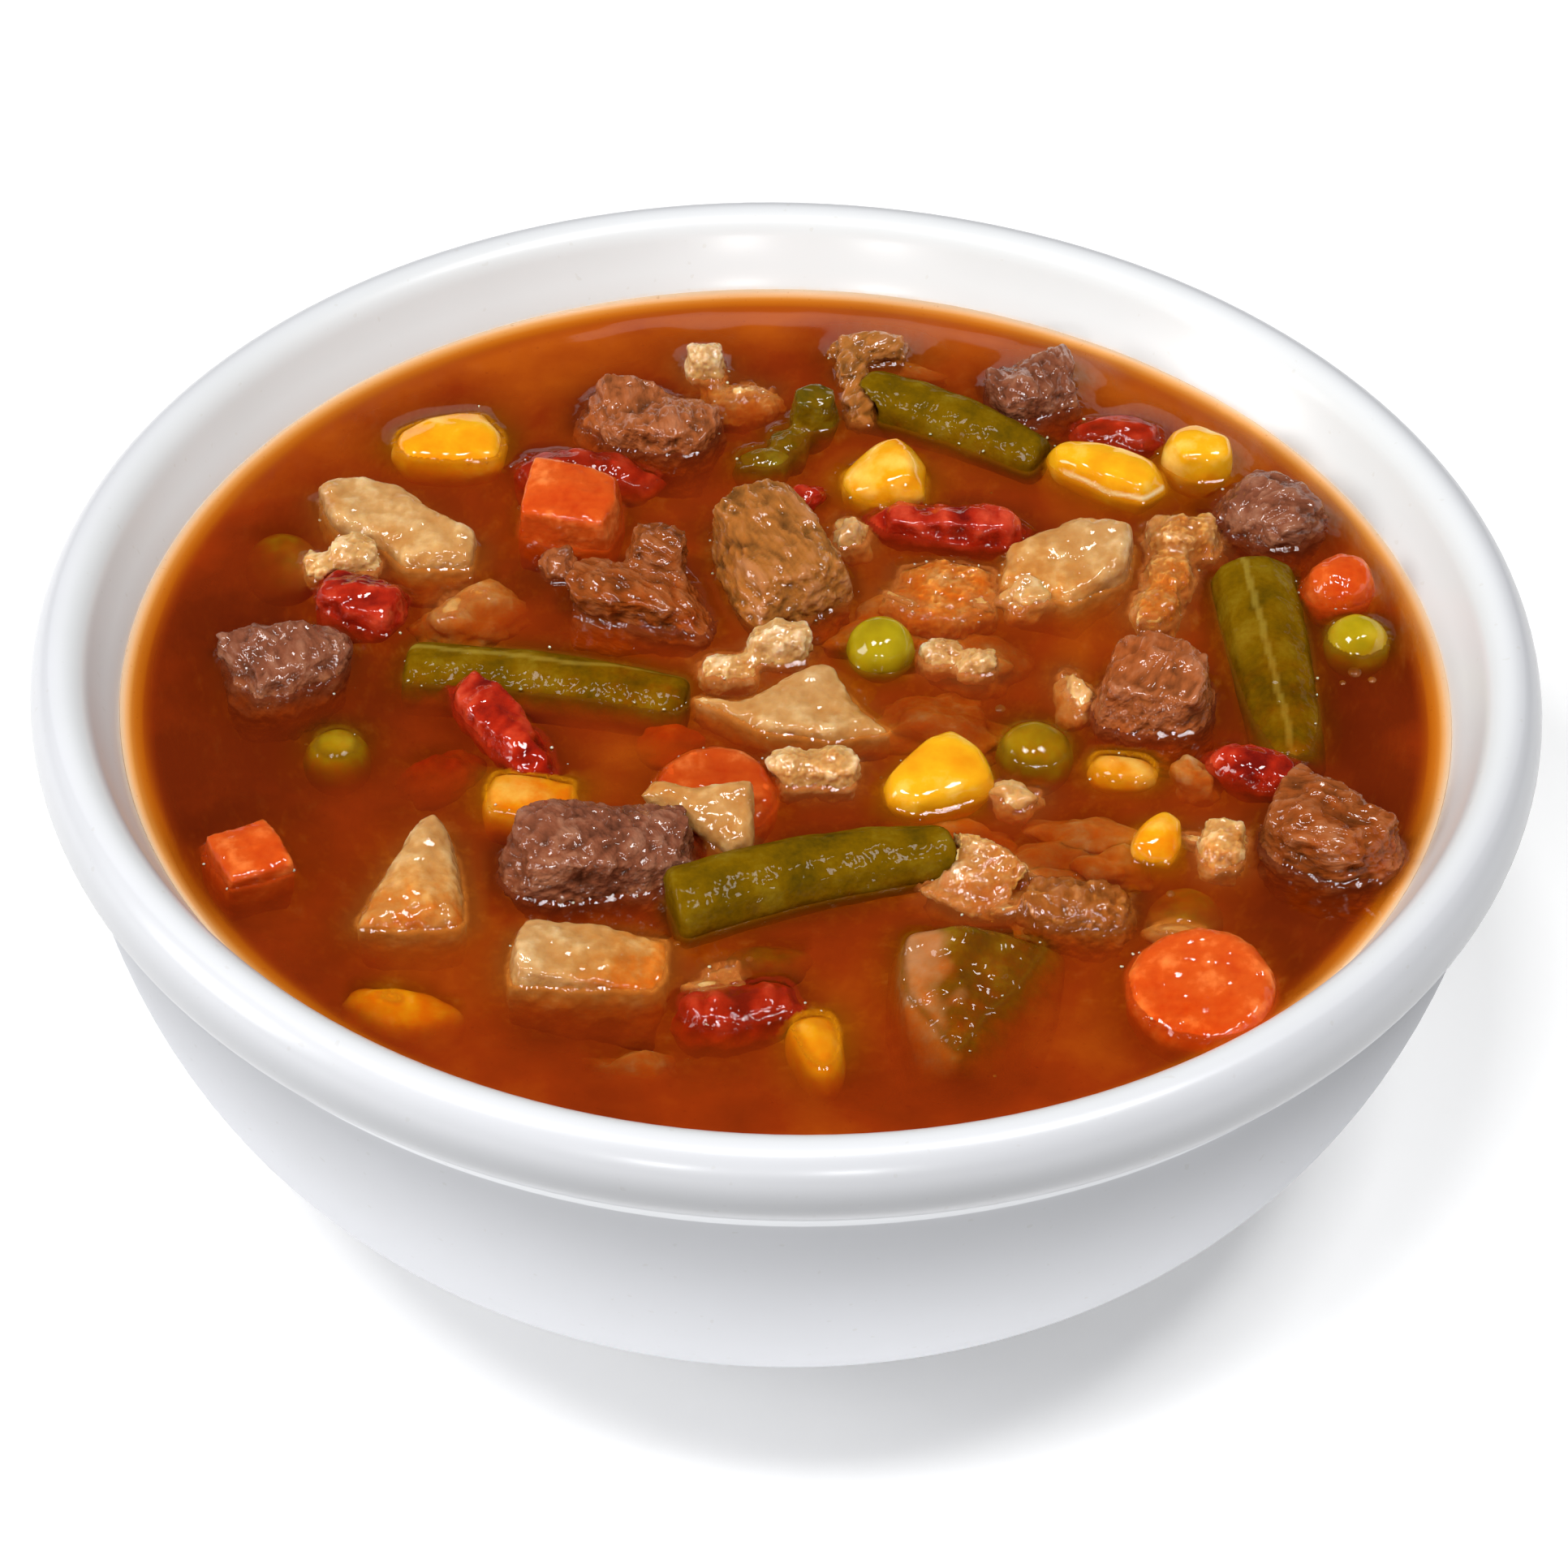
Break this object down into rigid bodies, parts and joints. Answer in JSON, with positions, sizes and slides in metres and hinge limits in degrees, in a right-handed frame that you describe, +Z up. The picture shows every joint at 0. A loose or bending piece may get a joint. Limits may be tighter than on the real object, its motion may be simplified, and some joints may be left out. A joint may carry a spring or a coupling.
{
  "type": "bowl of beef soup",
  "caption": "Round white soup bowl with a rolled rim and a foot ring, filled with red-brown broth, beef chunks and diced vegetables.",
  "frame": {"origin": "middle of the underside of the foot ring, at the level the bowl stands on", "axes": "+Z up along the bowl's axis, -Y towards the side of the bowl nearest in the usual view, +X to its right"},
  "size_m": [0.1598, 0.1598, 0.061],
  "materials": {
    "stoneware_glaze": "glossy white glaze",
    "broth": "glossy translucent red-brown broth",
    "beef": "damp cooked beef, brown with darker fibres",
    "stewed_beef": "damp stewed beef, golden brown and stringy",
    "potato": "damp boiled potato, pale and mealy",
    "carrot": "damp boiled carrot",
    "corn": "shiny sweetcorn skin",
    "pea": "shiny pea skin",
    "green_bean": "damp cooked bean, olive green",
    "green_pepper": "damp cooked pepper, olive green outside and pale inside",
    "tomato": "wet pulpy tomato",
    "onion": "translucent cooked onion",
    "cabbage": "soft cooked cabbage heart, pale and ragged"
  },
  "bodies": {
    "root": {"bowl": "stoneware_glaze", "broth": "broth", "beef_1": "beef", "beef_2": "beef", "beef_3": "beef", "beef_4": "beef", "beef_5": "beef", "beef_6": "beef", "beef_7": "beef", "beef_8": "beef", "beef_9": "stewed_beef", "shredded_beef": "stewed_beef", "stewed_shred": "stewed_beef", "carrot_dice_1": "carrot", "carrot_dice_2": "carrot", "carrot_dice_3": "carrot", "carrot_dice_4": "corn", "carrot_slice_1": "carrot", "carrot_slice_2": "carrot", "potato_1": "potato", "potato_2": "potato", "potato_3": "potato", "potato_4": "potato", "potato_5": "potato", "potato_6": "onion", "potato_7": "potato", "corn_kernel_1": "corn", "corn_kernel_2": "corn", "corn_kernel_3": "corn", "corn_kernel_4": "corn", "corn_kernel_5": "corn", "corn_kernel_6": "corn", "corn_kernel_7": "corn", "corn_hull": "corn", "pea_1": "pea", "pea_2": "pea", "pea_3": "pea", "pea_4": "pea", "green_bean_1": "green_bean", "green_bean_2": "green_bean", "green_bean_3": "green_bean", "green_bean_4": "green_bean", "pepper_strip": "green_pepper", "pepper_chunk": "green_pepper", "tomato_1": "tomato", "tomato_2": "tomato", "tomato_3": "tomato", "tomato_4": "tomato", "tomato_5": "tomato", "tomato_6": "tomato", "tomato_7": "tomato", "onion_1": "onion", "onion_2": "onion", "onion_3": "onion", "onion_4": "onion", "onion_5": "onion", "cabbage_1": "cabbage", "cabbage_2": "cabbage", "cabbage_3": "cabbage"}
  },
  "joints": []
}
